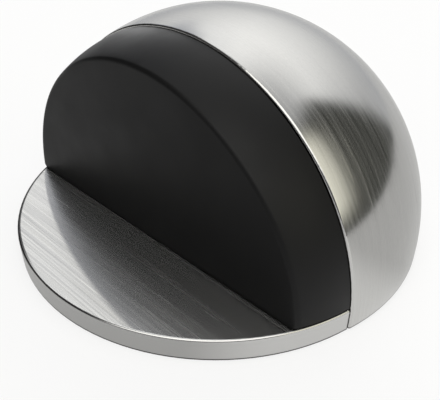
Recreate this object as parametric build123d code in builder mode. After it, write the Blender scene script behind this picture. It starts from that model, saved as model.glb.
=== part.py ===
from build123d import *
from math import cos, radians, sin, sqrt
import os

os.makedirs("parts", exist_ok=True)

# Half-moon floor door stop. Millimetres, +Z up.
# The origin is the centre of the round base plate, on the floor; the bumper faces -Y.

# Base plate
plate_diameter = 45.0
plate_thickness = 2.6
plate_rim_round = 0.25
plate_foot_bevel = 0.15

# Dome cover: part of a sphere on a short straight skirt, set a little behind the plate's centre
# and standing a little proud of the plate's edge
cover_proud = 0.3
dome_centre_height = 1.1
dome_set_back = 0.7
cover_wall = 1.5
cover_floor_gap = 0.1
cover_edge_round = 0.25
cover_foot_round = 0.2

# Seam between the cover and the bumper, measured forward of the plate's centre
seam_forward = 4.75
seam_gap = 0.1
shadow_gap = 0.15
cover_fit = 0.15

# Rubber bumper: a slice with a flat face, inset from the cover's edge and drawn in towards its front
bumper_depth = 5.5
bumper_inset = 0.2
bumper_draw_in = 1.65
bumper_bulge = 0.25
bumper_front_round = 0.6
bumper_foot_margin = 0.1
bumper_foot_flare = 0.6

# Upright wall behind the bumper, and the three pegs that button through it
wall_thickness = 2.5
wall_hole_diameter = 5.0
peg_clearance = 0.1
peg_head_diameter = 6.4
peg_head_length = 1.9
peg_head_shoulder = 0.5
peg_tip_diameter = 3.4
side_peg_spread = 20.0
side_peg_height = 8.5
top_peg_height = 16.5

# Threaded boss for the floor stud, and the hole for the pin that keeps the stop from turning
stud_hole_diameter = 5.0
stud_hole_depth = 9.0
stud_boss_diameter = 11.0
stud_boss_roof = 1.5
stud_lead_in = 0.5
pin_hole_diameter = 3.2

# Three countersunk screws that hold the cover, driven from below
screw_from_cover_wall = 6.3
screw_first_angle = 15.0
screw_angle_step = 75.0
screw_count = 3
screw_diameter = 2.95
screw_length = 8.0
screw_tip_bevel = 0.3
screw_head_diameter = 5.6
screw_head_height = 1.65
screw_head_rim = 0.25
screw_sunk = 0.2
screw_passage_diameter = 3.4
sink_clearance = 0.1
socket_across_flats = 2.0
socket_depth = 1.0

# Bosses inside the cover that take the screws, each with a rib to the skirt
boss_diameter = 6.6
boss_hole_diameter = 3.0
boss_hole_spare = 1.0
rib_thickness = 1.6
rib_height = 7.0

# Sizes that follow from the ones above
plate_radius = plate_diameter / 2
dome_radius = plate_radius + cover_proud
room_radius = dome_radius - cover_wall
insert_radius = room_radius - cover_fit
step_front = -(seam_forward + seam_gap)
wall_front = -(seam_forward + shadow_gap)
wall_back = wall_front + wall_thickness
bumper_front = wall_front - bumper_depth
seam_radius = sqrt(dome_radius**2 - (seam_forward + dome_set_back) ** 2)
bumper_back_radius = seam_radius - bumper_inset
bumper_front_radius = bumper_back_radius - bumper_draw_in
foot_radius = plate_radius - plate_rim_round - bumper_foot_margin
peg_neck_radius = wall_hole_diameter / 2 - peg_clearance
peg_neck_length = wall_thickness + peg_clearance
boss_hole_top = screw_sunk + screw_length + boss_hole_spare
stud_boss_top = stud_hole_depth + stud_boss_roof
screw_circle_radius = room_radius - screw_from_cover_wall
sink_radius = screw_head_diameter / 2 + sink_clearance
pin_hole_back = (stud_boss_diameter / 2 + screw_circle_radius - sink_radius) / 2
clear_of_all = 2 * plate_diameter

dome_plane = Plane.XZ.offset(-dome_set_back)
dome_axis = Axis((0, dome_set_back, 0), (0, 0, 1))
slice_axis = Axis((0, 0, dome_centre_height), (0, 1, 0))
peg_places = [
    (-side_peg_spread / 2, side_peg_height),
    (side_peg_spread / 2, side_peg_height),
    (0, top_peg_height),
]
screw_angles = [screw_first_angle + screw_angle_step * turn for turn in range(screw_count)]
screw_places = [
    (screw_circle_radius * cos(radians(angle)), screw_circle_radius * sin(radians(angle)))
    for angle in screw_angles
]


def dome_section(radius, foot):
    """Half section of a filled dome of this radius on a straight skirt down to this height."""
    with BuildSketch() as section:
        with BuildLine():
            arc = CenterArc((0, dome_centre_height), radius, 0, 90)
            Polyline(arc @ 1, (0, foot), (radius, foot), arc @ 0)
        make_face()
    return section.sketch


# Half section of a countersink for one screw, open at the floor
with BuildSketch() as sink:
    with BuildLine():
        Polyline(
            (0, 0),
            (sink_radius, 0),
            (sink_radius, screw_sunk + screw_head_rim),
            (screw_diameter / 2 + sink_clearance, screw_sunk + screw_head_height),
            (0, screw_sunk + screw_head_height),
            close=True,
        )
    make_face()
sink_section = sink.sketch

# Half section of one screw, from the flat of its head up to its tip
with BuildSketch() as screw:
    with BuildLine():
        Polyline(
            (0, 0),
            (screw_head_diameter / 2, 0),
            (screw_head_diameter / 2, screw_head_rim),
            (screw_diameter / 2, screw_head_height),
            (screw_diameter / 2, screw_length - screw_tip_bevel),
            (screw_diameter / 2 - screw_tip_bevel, screw_length),
            (0, screw_length),
            close=True,
        )
    make_face()
screw_section = screw.sketch

# Half section of one peg, from the back of the bumper: a neck through the wall, then a tapered head
with BuildSketch() as peg:
    with BuildLine():
        Polyline(
            (0, 0),
            (peg_neck_length + peg_head_length, 0),
            (peg_neck_length + peg_head_length, peg_tip_diameter / 2),
            (peg_neck_length + peg_head_shoulder, peg_head_diameter / 2),
            (peg_neck_length, peg_head_diameter / 2),
            (peg_neck_length, peg_neck_radius),
            (0, peg_neck_radius),
            close=True,
        )
    make_face()
peg_section = peg.sketch

# The room inside the cover, less the screw bosses and their ribs
with BuildPart() as cover_room:
    with BuildSketch(dome_plane):
        add(dome_section(room_radius, 0))
    revolve(axis=dome_axis)
    with BuildSketch(Plane.XY.offset(plate_thickness)):
        with Locations(*screw_places):
            Circle(boss_diameter / 2)
    extrude(amount=dome_radius, mode=Mode.SUBTRACT)
    with BuildSketch(Plane.XY.offset(plate_thickness)):
        for angle in screw_angles:
            with Locations(Rotation(0, 0, angle) * Location((screw_circle_radius, 0))):
                Rectangle(plate_radius, rib_thickness, align=(Align.MIN, Align.CENTER))
    extrude(amount=rib_height, mode=Mode.SUBTRACT)

# Dome cover: a hollow shell open below and in front
with BuildPart() as dome_cover:
    with BuildSketch(dome_plane):
        add(dome_section(dome_radius, cover_floor_gap))
    revolve(axis=dome_axis)
    add(cover_room.part, mode=Mode.SUBTRACT)
    split(bisect_by=Plane.XZ.offset(seam_forward), keep=Keep.BOTTOM)
    with BuildSketch(Plane.XY.offset(plate_thickness)):
        with Locations(*screw_places):
            Circle(boss_hole_diameter / 2)
    extrude(amount=boss_hole_top - plate_thickness, mode=Mode.SUBTRACT)
    seam_faces = dome_cover.faces().filter_by(Axis.Y).group_by(Axis.Y)[0]
    seam_rim = seam_faces.edges().filter_by(GeomType.CIRCLE).sort_by(SortBy.RADIUS)[-1]
    fillet(seam_rim, cover_edge_round)
    foot_faces = dome_cover.faces().filter_by(Axis.Z).group_by(Axis.Z)[0]
    foot_rim = foot_faces.edges().filter_by(GeomType.CIRCLE).sort_by(SortBy.RADIUS)[-1]
    fillet(foot_rim, cover_foot_round)
dome_cover.part.label = "dome_cover"
export_step(dome_cover.part, "parts/dome_cover.step")

# Base plate: a round disc in front of the seam. Behind it the same casting is drawn in to fit inside
# the cover, and carries the upright wall and the threaded boss.
with BuildPart() as base_plate:
    with BuildSketch(dome_plane):
        add(dome_section(insert_radius, 0))
    revolve(axis=dome_axis)
    split(bisect_by=Plane.XZ.offset(-wall_front), keep=Keep.BOTTOM)
    with BuildSketch(Plane.XY.offset(plate_thickness)):
        with Locations((0, wall_back)):
            Rectangle(clear_of_all, clear_of_all, align=(Align.CENTER, Align.MIN))
        Circle(stud_boss_diameter / 2, mode=Mode.SUBTRACT)
    extrude(amount=dome_radius, mode=Mode.SUBTRACT)
    with BuildSketch(Plane.XY.offset(stud_boss_top)):
        with Locations((0, wall_back)):
            Rectangle(clear_of_all, clear_of_all, align=(Align.CENTER, Align.MIN))
    extrude(amount=dome_radius, mode=Mode.SUBTRACT)
    with BuildSketch():
        Circle(plate_radius)
        with Locations((0, step_front)):
            Rectangle(clear_of_all, clear_of_all, align=(Align.CENTER, Align.MIN), mode=Mode.SUBTRACT)
    extrude(amount=plate_thickness)
    rims = base_plate.edges().filter_by(GeomType.CIRCLE).group_by(SortBy.RADIUS)[-1].sort_by(Axis.Z)
    fillet(rims[-1], plate_rim_round)
    chamfer(rims[0], plate_foot_bevel)
    with BuildSketch(Plane.XZ.offset(-wall_back)):
        with Locations(*peg_places):
            Circle(wall_hole_diameter / 2)
    extrude(amount=wall_thickness, mode=Mode.SUBTRACT)
    with BuildSketch():
        Circle(stud_hole_diameter / 2)
    extrude(amount=stud_hole_depth, mode=Mode.SUBTRACT)
    with BuildSketch():
        with Locations((0, pin_hole_back)):
            Circle(pin_hole_diameter / 2)
        with Locations(*screw_places):
            Circle(screw_passage_diameter / 2)
    extrude(amount=plate_thickness, mode=Mode.SUBTRACT)
    for place in screw_places:
        with BuildSketch(Plane.XZ.offset(-place[1])):
            with Locations((place[0], 0)):
                add(sink_section)
        revolve(axis=Axis((*place, 0), (0, 0, 1)), mode=Mode.SUBTRACT)
    stud_mouth = base_plate.edges().filter_by(GeomType.CIRCLE).group_by(Axis.Z)[0]
    chamfer(stud_mouth.sort_by_distance((0, 0, 0))[0], stud_lead_in)
base_plate.part.label = "base_plate"
export_step(base_plate.part, "parts/base_plate.step")

# Bumper: a rubber slice standing on the plate in front of the wall, with three pegs moulded on its back
with BuildPart() as bumper:
    with BuildSketch(Plane.YZ):
        with BuildLine():
            back = Line(
                (wall_front, dome_centre_height),
                (wall_front, dome_centre_height + bumper_back_radius),
            )
            front = Line(
                (bumper_front, dome_centre_height + bumper_front_radius),
                (bumper_front, dome_centre_height),
            )
            SagittaArc(front @ 0, back @ 1, bumper_bulge)
            Line(front @ 1, back @ 0)
        make_face()
    revolve(axis=slice_axis)
    front_rim = bumper.edges().filter_by(GeomType.CIRCLE).sort_by(Axis.Y)[0]
    fillet(front_rim, bumper_front_round)
    with BuildSketch(Plane.XZ):
        with BuildLine():
            Polyline(
                (0, plate_thickness),
                (foot_radius, plate_thickness),
                (foot_radius + bumper_foot_flare, plate_thickness + bumper_foot_flare),
                (foot_radius + bumper_foot_flare, clear_of_all),
                (0, clear_of_all),
                close=True,
            )
        make_face()
    revolve(axis=Axis.Z, mode=Mode.INTERSECT)
    for across, height in peg_places:
        with BuildSketch(Plane.YZ.offset(across)):
            with Locations((wall_front, height)):
                add(peg_section)
        revolve(axis=Axis((across, 0, height), (0, 1, 0)))
bumper.part.label = "bumper"
export_step(bumper.part, "parts/bumper.step")

# Cover screws: three alike, countersunk, with a hexagon socket
with BuildPart() as cover_screws:
    for place in screw_places:
        with BuildSketch(Plane.XZ.offset(-place[1])):
            with Locations((place[0], screw_sunk)):
                add(screw_section)
        revolve(axis=Axis((*place, 0), (0, 0, 1)))
    with BuildSketch(Plane.XY.offset(screw_sunk)):
        with Locations(*screw_places):
            RegularPolygon(socket_across_flats / 2, 6, major_radius=False)
    extrude(amount=socket_depth, mode=Mode.SUBTRACT)
cover_screws.part.label = "cover_screws"
export_step(cover_screws.part, "parts/cover_screws.step")
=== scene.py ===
import bpy
from math import cos, radians, sin
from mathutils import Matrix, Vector

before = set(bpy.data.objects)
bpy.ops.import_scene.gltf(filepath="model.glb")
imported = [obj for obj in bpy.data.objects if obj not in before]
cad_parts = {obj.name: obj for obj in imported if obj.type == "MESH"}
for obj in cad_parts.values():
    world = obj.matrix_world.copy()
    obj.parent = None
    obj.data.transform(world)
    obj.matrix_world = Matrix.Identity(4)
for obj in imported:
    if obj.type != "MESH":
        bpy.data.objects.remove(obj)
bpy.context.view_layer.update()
print("frame loaded:", sorted(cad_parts))

mm = 0.001


# Azimuths are degrees round from the bumper's face towards +X, elevations are degrees up from the floor
def towards(azimuth, elevation):
    az, el = radians(azimuth), radians(elevation)
    return Vector((sin(az) * cos(el), -cos(az) * cos(el), sin(el)))


# Camera: where the photograph was taken from, measured about the centre of the plate
camera = {
    "azimuth": 44.33,
    "elevation": 35.90,
    "distance": 69.75 * mm,
    "sensorWidth": 36,  # mm, the width that the focal length is counted in
    "focalPixels": 579.8,
    "frameWidth": 440,
    "centreRight": -4.46,  # where the plate's centre falls, pixels from the middle of the frame
    "centreDown": 12.93,
    "clipStart": 1 * mm,
}


def placeCamera():
    back = towards(camera["azimuth"], camera["elevation"])
    eye = bpy.data.objects.new("camera", bpy.data.cameras.new("camera"))
    bpy.context.scene.collection.objects.link(eye)
    eye.location = back * camera["distance"]
    eye.rotation_euler = back.to_track_quat("Z", "Y").to_euler()
    eye.data.sensor_width = camera["sensorWidth"]
    eye.data.lens = camera["sensorWidth"] * camera["focalPixels"] / camera["frameWidth"]
    eye.data.shift_x = -camera["centreRight"] / camera["frameWidth"]
    eye.data.shift_y = camera["centreDown"] / camera["frameWidth"]
    eye.data.clip_start = camera["clipStart"]
    bpy.context.scene.camera = eye
    print("camera placed")


placeCamera()


# Small helpers for building node trees
def newMaterial(name):
    material = bpy.data.materials.new(name)
    material.use_nodes = True
    material.node_tree.nodes.clear()
    return material, material.node_tree


def setInputs(tree, node, inputs):
    for key, value in inputs.items():
        if isinstance(value, bpy.types.NodeSocket):
            tree.links.new(value, node.inputs[key])
        else:
            node.inputs[key].default_value = value


def addNode(tree, kind, inputs=None, **settings):
    node = tree.nodes.new(kind)
    for key, value in settings.items():
        setattr(node, key, value)
    setInputs(tree, node, inputs or {})
    return node


def calc(tree, operation, *values):
    return addNode(tree, "ShaderNodeMath", dict(enumerate(values)), operation=operation).outputs[0]


noiseRange = (0.32, 0.68)  # where nearly all values of a noise texture lie


def spread(tree, value, low, high):  # noise opened out to low..high
    return addNode(tree, "ShaderNodeMapRange", {
        "Value": value, "From Min": noiseRange[0], "From Max": noiseRange[1],
        "To Min": low, "To Max": high}).outputs[0]


def between(tree, value, start, end):  # 0 before start, 1 past end
    return addNode(tree, "ShaderNodeMapRange", {"Value": value, "From Min": start, "From Max": end},
                   interpolation_type="SMOOTHSTEP").outputs[0]


def mixed(tree, factor, first, second):
    return addNode(tree, "ShaderNodeMix", {"Factor": factor, "A": first, "B": second}).outputs[0]


def vectorCalc(tree, operation, *values):
    node = addNode(tree, "ShaderNodeVectorMath", dict(enumerate(values)), operation=operation)
    return node.outputs["Value" if operation in ("DOT_PRODUCT", "LENGTH") else "Vector"]


def scaled(tree, vector, factor):
    return addNode(tree, "ShaderNodeVectorMath", {0: vector, "Scale": factor}, operation="SCALE").outputs[0]


def grainNoise(tree, place, perMm, detail):
    node = addNode(tree, "ShaderNodeTexNoise", {"Vector": place, "Scale": perMm / mm, "Detail": detail})
    return node.outputs["Fac"]


def paintedShading(tree, mask, shadeDepth):  # painted shade: 1 where the mask is 0, less by the shade depth where it is 1
    return calc(tree, "SUBTRACT", 1.0, calc(tree, "MULTIPLY", mask, shadeDepth))


def facing(tree, outwards, azimuth):  # 1 on the side towards this azimuth, -1 on the opposite side
    return vectorCalc(tree, "DOT_PRODUCT", vectorCalc(tree, "NORMALIZE", outwards), towards(azimuth, 0))


# Brushed lines: long streaks of noise, for a coordinate across the lines and one along them
brush = {
    "noiseRoughness": 0.6,
    "scratchFrom": 0.60,  # only the crests of the sparse noise are scratches
    "scratchFull": 0.72,
}


def makeBrushGroup():
    group = bpy.data.node_groups.new("brushedLines", "ShaderNodeTree")
    for name in ("Across", "Along", "Lines per mm", "Streak length mm", "Seed"):
        group.interface.new_socket(name, in_out="INPUT", socket_type="NodeSocketFloat")
    for name in ("Fine", "Streaks", "Scratches"):
        group.interface.new_socket(name, in_out="OUTPUT", socket_type="NodeSocketFloat")
    given = group.nodes.new("NodeGroupInput").outputs
    result = group.nodes.new("NodeGroupOutput")
    across = calc(group, "MULTIPLY", calc(group, "MULTIPLY", given["Across"], 1 / mm), given["Lines per mm"])
    along = calc(group, "DIVIDE", calc(group, "MULTIPLY", given["Along"], 1 / mm), given["Streak length mm"])

    def streakNoise(acrossShare, alongShare, shift, detail):
        place = addNode(group, "ShaderNodeCombineXYZ", {
            "X": calc(group, "MULTIPLY", across, acrossShare),
            "Y": calc(group, "MULTIPLY", along, alongShare),
            "Z": calc(group, "ADD", given["Seed"], shift)})
        noise = addNode(group, "ShaderNodeTexNoise", {
            "Vector": place.outputs[0], "Scale": 1.0, "Detail": detail, "Roughness": brush["noiseRoughness"]})
        return noise.outputs["Fac"]

    fine = streakNoise(acrossShare=1.0, alongShare=1.0, shift=0.0, detail=3.0)
    streaks = streakNoise(acrossShare=0.35, alongShare=0.5, shift=7.3, detail=4.0)
    sparse = streakNoise(acrossShare=0.8, alongShare=1.4, shift=15.1, detail=2.0)
    crests = addNode(group, "ShaderNodeMapRange", {
        "Value": sparse, "From Min": brush["scratchFrom"], "From Max": brush["scratchFull"]})
    setInputs(group, result, {"Fine": fine, "Streaks": streaks, "Scratches": crests.outputs[0]})
    return group


# True normal: the exact normal of a form that is known, used where the mesh's own normal agrees with it
def makeTrueNormalGroup():
    group = bpy.data.node_groups.new("trueNormal", "ShaderNodeTree")
    for name in ("Exact", "Mesh normal"):
        group.interface.new_socket(name, in_out="INPUT", socket_type="NodeSocketVector")
    group.interface.new_socket("Least agreement", in_out="INPUT", socket_type="NodeSocketFloat")
    group.interface.new_socket("Normal", in_out="OUTPUT", socket_type="NodeSocketVector")
    given = group.nodes.new("NodeGroupInput").outputs
    result = group.nodes.new("NodeGroupOutput")
    exact = vectorCalc(group, "NORMALIZE", given["Exact"])
    agreement = vectorCalc(group, "DOT_PRODUCT", exact, given["Mesh normal"])
    trusted = calc(group, "GREATER_THAN", agreement, given["Least agreement"])
    normal = addNode(group, "ShaderNodeMix", {"Factor": trusted, 4: given["Mesh normal"], 5: exact},
                     data_type="VECTOR").outputs[1]
    setInputs(group, result, {"Normal": normal})
    return group


brushGroup = makeBrushGroup()
trueNormalGroup = makeTrueNormalGroup()


def brushed(tree, across, along, look):
    return addNode(tree, "ShaderNodeGroup", {
        "Across": across, "Along": along, "Lines per mm": look["linesPerMm"],
        "Streak length mm": look["streakMm"], "Seed": look["seed"]}, node_tree=brushGroup).outputs


def brushedRoughness(tree, lines, look):
    streaks = spread(tree, lines["Streaks"], -look["streakRoughness"], look["streakRoughness"])
    scratches = calc(tree, "MULTIPLY", lines["Scratches"], look["scratchRoughness"])
    return calc(tree, "ADD", calc(tree, "ADD", streaks, scratches), look["roughness"])


def brushedHaze(tree, lines, look):
    return calc(tree, "ADD", spread(tree, lines["Fine"], -look["hazeLines"], look["hazeLines"]), look["haze"])


def trueNormal(tree, exact, look):
    meshNormal = addNode(tree, "ShaderNodeNewGeometry").outputs["Normal"]
    return addNode(tree, "ShaderNodeGroup", {
        "Exact": exact, "Mesh normal": meshNormal, "Least agreement": look["agreement"]},
        node_tree=trueNormalGroup).outputs["Normal"]


# Dome cover
dome = {
    "ballCentre": (0, 0.7 * mm, 1.1 * mm),
    "agreement": 0.996,  # the ball's exact normal counts within about 5 degrees of the mesh's
    "colour": (0.49, 0.487, 0.475, 1),
    "tint": 0.03,
    "haze": 0.05,  # share that scatters light like fine scratches do
    "hazeLines": 0.09,
    "roughness": 0.165,
    "streakRoughness": 0.03,
    "scratchRoughness": 0.08,
    "anisotropy": 0.6,
    "linesPerMm": 3.5,
    "streakMm": 12.0,
    "streakRadius": 18 * mm,  # turns the angle round the ball into a length along the lines
    "seed": 0.0,
    "bump": 0.1,
    "lineDepth": 0.02 * mm,
    "bevelFrom": -4.52 * mm,  # the polished bevel round the seam lies in front of this
    "bevelBlend": 0.05 * mm,
    "bevelRoughness": 0.12,
    "footShadeBelow": 0.42 * mm,  # painted shade: the skirt's colour is darkened under this height, next to the floor
    "footShadeBlend": 0.12 * mm,
    "footShadeDarkness": 0.85,
}


def domeMetal():
    material, tree = newMaterial("satinDome")
    place = addNode(tree, "ShaderNodeTexCoord").outputs["Object"]
    xyz = addNode(tree, "ShaderNodeSeparateXYZ", {"Vector": place}).outputs
    height = calc(tree, "SUBTRACT", xyz["Z"], dome["ballCentre"][2])
    along = calc(tree, "MULTIPLY", calc(tree, "ARCTAN2", height, xyz["X"]), dome["streakRadius"])
    lines = brushed(tree, xyz["Y"], along, dome)
    bevel = between(tree, xyz["Y"], dome["bevelFrom"] + dome["bevelBlend"],
                    dome["bevelFrom"] - dome["bevelBlend"])
    rough = mixed(tree, bevel, brushedRoughness(tree, lines, dome), dome["bevelRoughness"])
    # painted shade where the skirt meets the floor
    footShade = between(tree, xyz["Z"], dome["footShadeBelow"], dome["footShadeBelow"] - dome["footShadeBlend"])
    tint = spread(tree, lines["Fine"], 1 - dome["tint"], 1 + dome["tint"])
    brightness = calc(tree, "MULTIPLY", paintedShading(tree, footShade, dome["footShadeDarkness"]), tint)
    fromCentre = vectorCalc(tree, "SUBTRACT", place, dome["ballCentre"])
    bump = addNode(tree, "ShaderNodeBump", {
        "Height": lines["Fine"], "Strength": dome["bump"], "Distance": dome["lineDepth"],
        "Normal": trueNormal(tree, fromCentre, dome)})
    acrossLines = addNode(tree, "ShaderNodeCombineXYZ", {"Y": 1.0})
    shader = addNode(tree, "ShaderNodeBsdfPrincipled", {
        "Base Color": scaled(tree, dome["colour"][:3], brightness),
        "Metallic": calc(tree, "SUBTRACT", 1.0, brushedHaze(tree, lines, dome)), "Roughness": rough,
        "Anisotropic": dome["anisotropy"], "Normal": bump.outputs[0], "Tangent": acrossLines.outputs[0]})
    addNode(tree, "ShaderNodeOutputMaterial", {"Surface": shader.outputs[0]})
    return material


# Base plate
plate = {
    "radius": 22.5 * mm,
    "height": 2.6 * mm,
    "rimRound": 0.25 * mm,
    "agreement": 0.8,  # looser than the dome's, because the rim turns through a right angle
    "colour": (0.49, 0.487, 0.478, 1),
    "tint": 0.08,
    "haze": 0.06,
    "hazeLines": 0.025,
    "roughness": 0.25,
    "streakRoughness": 0.03,
    "scratchRoughness": 0.1,
    "anisotropy": 0.5,
    "linesPerMm": 5.0,
    "streakMm": 40.0,
    "seed": 21.0,
    "bump": 0.16,
    "lineDepth": 0.02 * mm,
    "topAbove": 2.585 * mm,
    "topBlend": 0.01 * mm,
    "sideBelow": 2.30 * mm,  # under this height the wall is fine satin, above it the edge is polished
    "sideBlend": 0.05 * mm,
    "sideRoughness": 0.3,
    "edgeRoughness": 0.16,
    "bumperFront": -10.4 * mm,  # painted shade: a dark line lies along the bumper's foot
    "contactShadeWidth": 0.3 * mm,
    "seam": -4.85 * mm,  # and painted shade down the side, in the seam gap
    "seamShadeWidth": 0.14 * mm,
    "seamShadeBlend": 0.1 * mm,
    # painted shade at the floor, under this height
    "footShadeBelow": 0.34 * mm,
    "footShadeBlend": 0.1 * mm,
    "rimShadeFrom": 22.12 * mm,  # painted dark reflection: the rounded rim is black on one side
    "rimShadeBlend": 0.05 * mm,
    "rimShadeAzimuth": 312,
    "rimShadeReach": (0.75, 0.9),  # cosines of the turn from there, where it begins and where it is full
    "shadeDepth": 0.88,  # share of the colour that is taken away at all of this painted shade
}


# Flat top, rounded rim and upright wall in one: how far the place lies past the rim's inner circle and
# above the rim's lower edge gives the way that the surface faces
def plateNormal(tree, outwards, radius, height):
    past = calc(tree, "MAXIMUM", calc(tree, "SUBTRACT", radius, plate["radius"] - plate["rimRound"]), 0)
    above = calc(tree, "MAXIMUM", calc(tree, "SUBTRACT", height, plate["height"] - plate["rimRound"]), 0)
    share = calc(tree, "DIVIDE", past, radius)
    upright = addNode(tree, "ShaderNodeCombineXYZ", {"Z": above}).outputs[0]
    return trueNormal(tree, vectorCalc(tree, "ADD", scaled(tree, outwards, share), upright), plate)


# Painted shade on the plate: along the bumper's foot, in the seam gap and at the floor, and a painted dark
# reflection on one side of the rim
def platePaintedShade(tree, xyz, top, side, outwards, radius):
    contactShade = between(tree, xyz["Y"], plate["bumperFront"] - plate["contactShadeWidth"], plate["bumperFront"])
    seamFrom = plate["seam"] - plate["seamShadeWidth"]
    seam = between(tree, xyz["Y"], seamFrom, seamFrom + plate["seamShadeBlend"])
    footShade = between(tree, xyz["Z"], plate["footShadeBelow"], plate["footShadeBelow"] - plate["footShadeBlend"])
    outer = between(tree, radius, plate["rimShadeFrom"], plate["rimShadeFrom"] + plate["rimShadeBlend"])
    oneSide = between(tree, facing(tree, outwards, plate["rimShadeAzimuth"]), *plate["rimShadeReach"])
    aboveSide = calc(tree, "SUBTRACT", 1.0, side)
    rim = calc(tree, "MULTIPLY", outer, calc(tree, "MULTIPLY", aboveSide, oneSide))
    return calc(tree, "MAXIMUM", rim, calc(tree, "MAXIMUM", footShade, mixed(tree, top, seam, contactShade)))


def plateMetal():
    material, tree = newMaterial("brushedPlate")
    place = addNode(tree, "ShaderNodeTexCoord").outputs["Object"]
    xyz = addNode(tree, "ShaderNodeSeparateXYZ", {"Vector": place}).outputs
    outwards = addNode(tree, "ShaderNodeCombineXYZ", {"X": xyz["X"], "Y": xyz["Y"]}).outputs[0]
    radius = vectorCalc(tree, "LENGTH", outwards)
    lines = brushed(tree, xyz["Y"], xyz["X"], plate)
    top = between(tree, xyz["Z"], plate["topAbove"], plate["topAbove"] + plate["topBlend"])
    side = between(tree, xyz["Z"], plate["sideBelow"] + plate["sideBlend"],
                   plate["sideBelow"] - plate["sideBlend"])
    edge = mixed(tree, side, plate["edgeRoughness"], plate["sideRoughness"])
    rough = mixed(tree, top, edge, brushedRoughness(tree, lines, plate))
    tint = mixed(tree, top, 1.0, spread(tree, lines["Fine"], 1 - plate["tint"], 1 + plate["tint"]))
    # painted shade and a painted dark reflection, taken out of the plate's colour
    shade = paintedShading(tree, platePaintedShade(tree, xyz, top, side, outwards, radius), plate["shadeDepth"])
    haze = calc(tree, "MULTIPLY", top, brushedHaze(tree, lines, plate))
    bump = addNode(tree, "ShaderNodeBump", {
        "Height": lines["Fine"], "Strength": calc(tree, "MULTIPLY", top, plate["bump"]),
        "Distance": plate["lineDepth"], "Normal": plateNormal(tree, outwards, radius, xyz["Z"])})
    acrossLines = addNode(tree, "ShaderNodeCombineXYZ", {"Y": top, "Z": calc(tree, "SUBTRACT", 1.0, top)})
    shader = addNode(tree, "ShaderNodeBsdfPrincipled", {
        "Base Color": scaled(tree, plate["colour"][:3], calc(tree, "MULTIPLY", tint, shade)),
        "Metallic": calc(tree, "SUBTRACT", 1.0, haze), "Roughness": rough, "Anisotropic": plate["anisotropy"],
        "Normal": bump.outputs[0], "Tangent": acrossLines.outputs[0]})
    addNode(tree, "ShaderNodeOutputMaterial", {"Surface": shader.outputs[0]})
    return material


# Bumper
rubber = {
    "colour": (0.006, 0.006, 0.0062, 1),
    "roughness": 0.45,
    "roughnessSpread": 0.04,
    "cloudsPerMm": 0.25,
    "specular": 0.18,
    "grainPerMm": 9.0,
    "grainDepth": 0.02 * mm,
    "detail": 3.0,
    "bump": 0.12,
}


def bumperRubber():
    material, tree = newMaterial("mattRubber")
    place = addNode(tree, "ShaderNodeTexCoord").outputs["Object"]
    grain = grainNoise(tree, place, rubber["grainPerMm"], rubber["detail"])
    clouds = grainNoise(tree, place, rubber["cloudsPerMm"], rubber["detail"])
    rough = spread(tree, clouds, rubber["roughness"] - rubber["roughnessSpread"],
                   rubber["roughness"] + rubber["roughnessSpread"])
    bump = addNode(tree, "ShaderNodeBump", {
        "Height": grain, "Strength": rubber["bump"], "Distance": rubber["grainDepth"]})
    shader = addNode(tree, "ShaderNodeBsdfPrincipled", {
        "Base Color": rubber["colour"], "Roughness": rough, "Specular IOR Level": rubber["specular"],
        "Normal": bump.outputs[0]})
    addNode(tree, "ShaderNodeOutputMaterial", {"Surface": shader.outputs[0]})
    return material


# Cover screws, hidden under the plate
screws = {
    "colour": (0.5, 0.5, 0.51, 1),
    "grainPerMm": 2.0,
    "detail": 4.0,
    "leastRoughness": 0.25,
    "mostRoughness": 0.45,
}


def screwSteel():
    material, tree = newMaterial("plainScrewSteel")
    place = addNode(tree, "ShaderNodeTexCoord").outputs["Object"]
    grain = grainNoise(tree, place, screws["grainPerMm"], screws["detail"])
    rough = addNode(tree, "ShaderNodeMapRange", {
        "Value": grain, "To Min": screws["leastRoughness"], "To Max": screws["mostRoughness"]})
    shader = addNode(tree, "ShaderNodeBsdfPrincipled", {
        "Base Color": screws["colour"], "Metallic": 1.0, "Roughness": rough.outputs[0]})
    addNode(tree, "ShaderNodeOutputMaterial", {"Surface": shader.outputs[0]})
    return material


# True smooth shading on the rounded edges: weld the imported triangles, split them only at real corners,
# and weight each normal by the faces' area, so that flats stay flat
edges = {
    "weldWithin": 0.0005 * mm,
    "cornerAngle": 25,  # degrees
    "areaWeight": 100,
}


def smoothEdges(piece):
    weld = piece.modifiers.new("weld", "WELD")
    weld.merge_threshold = edges["weldWithin"]
    corners = piece.modifiers.new("corners", "EDGE_SPLIT")
    corners.split_angle = radians(edges["cornerAngle"])
    corners.use_edge_sharp = False
    weighted = piece.modifiers.new("weighted", "WEIGHTED_NORMAL")
    weighted.mode = "FACE_AREA_WITH_ANGLE"
    weighted.weight = edges["areaWeight"]


def dress(node, material):
    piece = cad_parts[node]
    piece.data.materials.clear()
    piece.data.materials.append(material)
    smoothEdges(piece)


dress("dome_cover", domeMetal())
dress("base_plate", plateMetal())
dress("bumper", bumperRubber())
dress("cover_screws", screwSteel())
print("materials made")


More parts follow.
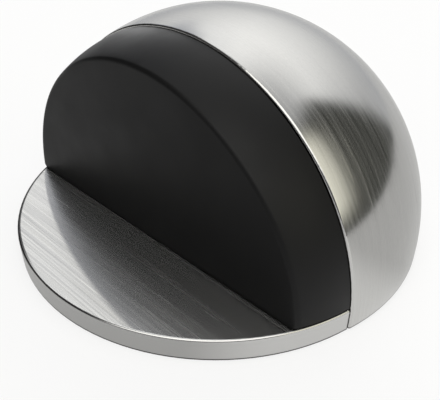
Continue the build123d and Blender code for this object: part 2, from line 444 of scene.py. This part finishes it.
# Studio: a white floor in a grey room, with soft lit panels and dark ones that the metal mirrors.
# A panel's sizes are degrees, and its lean is how far its centre moves round for each degree of height.
# In order: two soft lights behind, one overhead, the key, the dark room at the left and in front,
# the dark card at the right and the warm light beside it, the horizon behind, and a blue-grey band
# that the plate mirrors.
studio = {
    "floorRadius": 2.0,
    "floorColour": (0.22, 0.22, 0.22, 1),
    "floorRoughness": 0.9,
    "floorSpecular": 0.1,
    "floorGlow": 0.74,
    "mirroredGlow": {  # painted light: the floor's glow as mirrors see it, with a painted pool of light at the right
        "all": 0.46,
        "pool": 0.36,
        "poolAzimuth": 72,
        "poolReach": (0.8, 0.99),  # cosines of the turn from there, as for the plate's painted dark rim
    },
    "seenBehind": (0.982, 0.982, 0.978, 1),
    "flashes": (
        dict(node="base_plate", azimuth=231.2, elevation=49.3, spread=1.5, strength=44, mirrored=False,
             colour=(1, 0.99, 0.93)),
        dict(node="bumper", azimuth=232, elevation=12, spread=25, strength=0.38, mirrored=True,
             colour=(1, 1, 1)),
    ),
    "room": (0.53, 0.535, 0.545),
    "panels": (
        dict(azimuth=212, elevation=55, halfSize=(34, 37), edge=50, lean=0, light=(1.78, 1.78, 1.77)),
        dict(azimuth=189, elevation=45, halfSize=(47, 5), edge=26, lean=0, light=(1.78, 1.78, 1.76)),
        dict(azimuth=262, elevation=62, halfSize=(38, 22), edge=16, lean=0, light=(1.5, 1.51, 1.52)),
        dict(azimuth=42, elevation=56, halfSize=(58, 26), edge=8, lean=0, light=(2.3, 2.28, 2.2)),
        dict(azimuth=299, elevation=20, halfSize=(44, 38), edge=5, lean=0, light=(0.03, 0.03, 0.03)),
        dict(azimuth=25, elevation=6, halfSize=(82, 14), edge=6, lean=0, light=(0.1, 0.1, 0.1)),
        dict(azimuth=134, elevation=10, halfSize=(34, 42), edge=5, lean=-0.4, light=(0.068, 0.07, 0.062)),
        dict(azimuth=100, elevation=28, halfSize=(22, 20), edge=7, lean=0.25, light=(1.45, 1.42, 1.22)),
        dict(azimuth=215, elevation=-2, halfSize=(40, 12), edge=10, lean=0, light=(0.6, 0.61, 0.63)),
        dict(azimuth=252, elevation=40, halfSize=(18, 12), edge=5, lean=0, light=(0.72, 0.74, 0.79)),
    ),
}


# A panel's mask over the directions of the world, 1 inside and 0 outside with a soft edge
def makePanelGroup():
    group = bpy.data.node_groups.new("studioPanel", "ShaderNodeTree")
    group.interface.new_socket("Direction", in_out="INPUT", socket_type="NodeSocketVector")
    for name in ("Azimuth", "Elevation", "Half width", "Half height", "Edge", "Lean"):
        group.interface.new_socket(name, in_out="INPUT", socket_type="NodeSocketFloat")
    group.interface.new_socket("Mask", in_out="OUTPUT", socket_type="NodeSocketFloat")
    given = group.nodes.new("NodeGroupInput").outputs
    result = group.nodes.new("NodeGroupOutput")
    angle = calc(group, "RADIANS", calc(group, "MULTIPLY", given["Azimuth"], -1))
    turned = addNode(group, "ShaderNodeVectorRotate", {"Vector": given["Direction"], "Angle": angle},
                     rotation_type="Z_AXIS")
    xyz = addNode(group, "ShaderNodeSeparateXYZ", {"Vector": turned.outputs[0]}).outputs
    aside = calc(group, "DEGREES", calc(group, "ARCTAN2", xyz["X"], calc(group, "MULTIPLY", xyz["Y"], -1)))
    height = calc(group, "DEGREES", calc(group, "ARCSINE", xyz["Z"]))
    above = calc(group, "SUBTRACT", height, given["Elevation"])
    beside = calc(group, "SUBTRACT", aside, calc(group, "MULTIPLY", above, given["Lean"]))
    masks = []
    for offset, half in ((beside, given["Half width"]), (above, given["Half height"])):
        outside = calc(group, "ADD", half, given["Edge"])
        inside = calc(group, "SUBTRACT", half, given["Edge"])
        masks.append(between(group, calc(group, "ABSOLUTE", offset), outside, inside))
    setInputs(group, result, {"Mask": calc(group, "MULTIPLY", *masks)})
    return group


def makeObject(name, points, faces, material):
    mesh = bpy.data.meshes.new(name)
    mesh.from_pydata(points, [], faces)
    mesh.materials.append(material)
    piece = bpy.data.objects.new(name, mesh)
    bpy.context.scene.collection.objects.link(piece)
    return piece


def mixedLight(tree, factor, first, second):
    return addNode(tree, "ShaderNodeMix", {0: factor, 6: first, 7: second}, data_type="RGBA").outputs[2]


def makeWorld():
    world = bpy.data.worlds.new("studio")
    bpy.context.scene.world = world
    world.use_nodes = True
    tree = world.node_tree
    tree.nodes.clear()
    ray = addNode(tree, "ShaderNodeTexCoord").outputs["Generated"]
    panelGroup = makePanelGroup()
    light = studio["room"] + (1,)
    for panel in studio["panels"]:
        mask = addNode(tree, "ShaderNodeGroup", {
            "Direction": ray, "Azimuth": panel["azimuth"], "Elevation": panel["elevation"],
            "Half width": panel["halfSize"][0], "Half height": panel["halfSize"][1],
            "Edge": panel["edge"], "Lean": panel["lean"]}, node_tree=panelGroup)
        light = mixedLight(tree, mask.outputs[0], light, panel["light"] + (1,))
    seen = addNode(tree, "ShaderNodeLightPath").outputs["Is Camera Ray"]
    light = mixedLight(tree, seen, light, studio["seenBehind"])
    shade = addNode(tree, "ShaderNodeBackground", {"Color": light})
    addNode(tree, "ShaderNodeOutputWorld", {"Surface": shade.outputs[0]})


# Small lights behind, each on one piece: the first throws the bumper's shadow over the plate's haze
def makeFlashes():
    for flash in studio["flashes"]:
        lamp = bpy.data.objects.new("flash", bpy.data.lights.new("flash", "SUN"))
        bpy.context.scene.collection.objects.link(lamp)
        lamp.rotation_euler = towards(flash["azimuth"], flash["elevation"]).to_track_quat("Z", "Y").to_euler()
        lamp.data.angle = radians(flash["spread"])
        lamp.data.energy = flash["strength"]
        lamp.data.color = flash["colour"]
        lamp.visible_glossy = flash["mirrored"]
        lit = bpy.data.collections.new("lit by the flash")
        lit.objects.link(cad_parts[flash["node"]])
        lamp.light_linking.receiver_collection = lit


def makeFloor():
    material, tree = newMaterial("whiteFloor")
    path = addNode(tree, "ShaderNodeLightPath").outputs
    mirrored = calc(tree, "MAXIMUM", path["Is Glossy Ray"], path["Is Transmission Ray"])
    place = addNode(tree, "ShaderNodeTexCoord").outputs["Object"]
    glow = studio["mirroredGlow"]
    # painted pool of light, which only mirrors see
    poolMask = between(tree, facing(tree, place, glow["poolAzimuth"]), *glow["poolReach"])
    inMirrors = calc(tree, "ADD", calc(tree, "MULTIPLY", poolMask, glow["pool"]), glow["all"])
    strength = calc(tree, "ADD", calc(tree, "MULTIPLY", path["Is Camera Ray"], studio["floorGlow"]),
                    calc(tree, "MULTIPLY", mirrored, inMirrors))
    shader = addNode(tree, "ShaderNodeBsdfPrincipled", {
        "Base Color": studio["floorColour"], "Roughness": studio["floorRoughness"],
        "Specular IOR Level": studio["floorSpecular"], "Emission Color": (1, 1, 1, 1),
        "Emission Strength": strength})
    addNode(tree, "ShaderNodeOutputMaterial", {"Surface": shader.outputs[0]})
    r = studio["floorRadius"]
    makeObject("floor", [(-r, -r, 0), (r, -r, 0), (r, r, 0), (-r, r, 0)], [(0, 1, 2, 3)], material)


def makeStudio():
    makeWorld()
    makeFlashes()
    makeFloor()
    bpy.context.scene.view_settings.view_transform = "Standard"
    print("studio built")


makeStudio()
